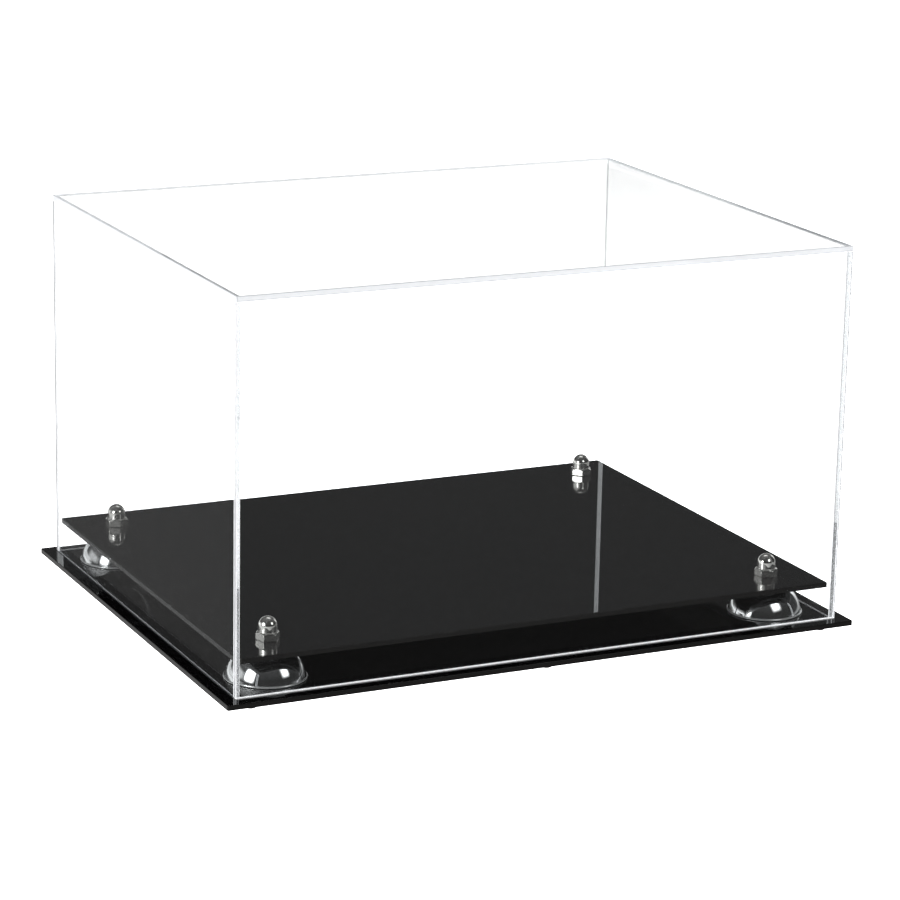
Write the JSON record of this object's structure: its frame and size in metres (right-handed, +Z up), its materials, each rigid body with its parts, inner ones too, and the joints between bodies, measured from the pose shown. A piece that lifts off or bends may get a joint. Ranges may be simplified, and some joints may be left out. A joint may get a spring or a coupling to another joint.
{
  "type": "display case",
  "caption": "Lift-off clear acrylic cover over a black base plate, with a black platform raised on chrome dome risers held by cap nuts, for shoes, a football or similar.",
  "frame": {"origin": "under the middle of the case, on the plane that the feet stand on", "axes": "+X along the long front, to the right seen from the front; +Y from front to back; +Z up"},
  "size_m": [0.4032, 0.3206, 0.2348],
  "materials": {
    "clear_acrylic": "clear, polished cast acrylic sheet",
    "black_acrylic": "black, mirror gloss",
    "riser_chrome": "polished chrome plate",
    "nut_chrome": "polished chrome plate",
    "screw_steel": "zinc plated steel",
    "foot_rubber": "dark soft rubber"
  },
  "bodies": {
    "base": {"base_plate": "black_acrylic", "platform": "black_acrylic", "riser_front_left": "riser_chrome", "riser_front_right": "riser_chrome", "riser_back_left": "riser_chrome", "riser_back_right": "riser_chrome", "screw_front_left": "screw_steel", "screw_front_right": "screw_steel", "screw_back_left": "screw_steel", "screw_back_right": "screw_steel", "cap_nut_front_left": "nut_chrome", "cap_nut_front_right": "nut_chrome", "cap_nut_back_left": "nut_chrome", "cap_nut_back_right": "nut_chrome", "foot_front_left": "foot_rubber", "foot_front_middle": "foot_rubber", "foot_front_right": "foot_rubber", "foot_back_left": "foot_rubber", "foot_back_middle": "foot_rubber", "foot_back_right": "foot_rubber"},
    "cover": {"cover_top": "clear_acrylic", "cover_front": "clear_acrylic", "cover_back": "clear_acrylic", "cover_left": "clear_acrylic", "cover_right": "clear_acrylic"}
  },
  "joints": [
    {"name": "cover_lift", "type": "slide", "parent": "base", "child": "cover", "axis": [0, 0, 1], "range_m": [0, 0.24]}
  ]
}
